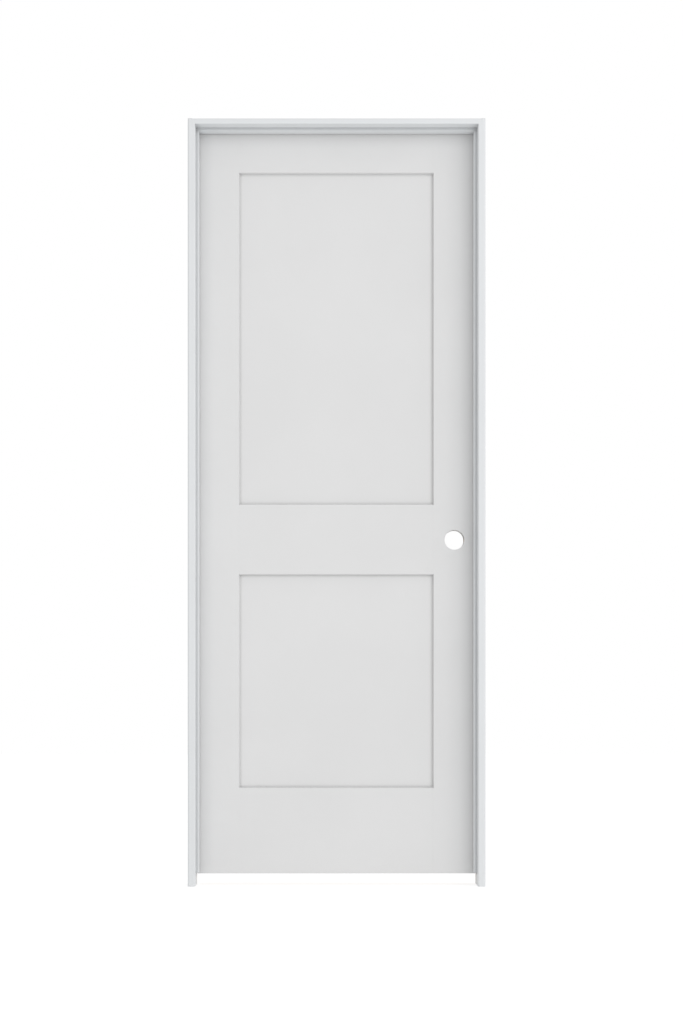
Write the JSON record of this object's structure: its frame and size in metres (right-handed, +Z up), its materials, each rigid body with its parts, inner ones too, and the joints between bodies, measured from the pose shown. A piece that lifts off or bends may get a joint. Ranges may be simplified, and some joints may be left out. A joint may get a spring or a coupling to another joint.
{
  "type": "prehung two-panel shaker interior door",
  "caption": "Left-hand interior door leaf with flat recessed panels, hung on butt hinges in a flat jamb with stops and bored for a lockset.",
  "frame": {"origin": "on the outer face of the hinge leg, at mid depth of the jamb and level with the leg's foot", "axes": "+X from the hinge leg to the latch leg, +Y towards the side that the leaf opens to, +Z up; the picture looks along +Y"},
  "size_m": [0.808, 0.1281, 2.0835],
  "materials": {
    "jamb_paint": "white primer, satin",
    "stop_paint": "white primer, satin",
    "leaf_paint": "white primer, satin",
    "panel_paint": "white primer, satin",
    "hinge_metal": "satin nickel plate"
  },
  "bodies": {
    "frame": {"hinge_jamb_leg": "jamb_paint", "latch_jamb_leg": "jamb_paint", "head_jamb": "jamb_paint", "hinge_stop": "stop_paint", "latch_stop": "stop_paint", "head_stop": "stop_paint", "bottom_hinge_jamb_plate": "hinge_metal", "bottom_hinge_pin": "hinge_metal", "middle_hinge_jamb_plate": "hinge_metal", "middle_hinge_pin": "hinge_metal", "top_hinge_jamb_plate": "hinge_metal", "top_hinge_pin": "hinge_metal"},
    "leaf": {"hinge_stile": "leaf_paint", "latch_stile": "leaf_paint", "top_rail": "leaf_paint", "lock_rail": "leaf_paint", "bottom_rail": "leaf_paint", "upper_panel": "panel_paint", "lower_panel": "panel_paint", "bottom_hinge_door_plate": "hinge_metal", "middle_hinge_door_plate": "hinge_metal", "top_hinge_door_plate": "hinge_metal"}
  },
  "joints": [
    {"name": "leaf_hinge", "type": "hinge", "parent": "frame", "child": "leaf", "pos_m": [0.0215, 0.0645, 1], "axis": [0, 0, 1], "range_deg": [0, 180]}
  ]
}
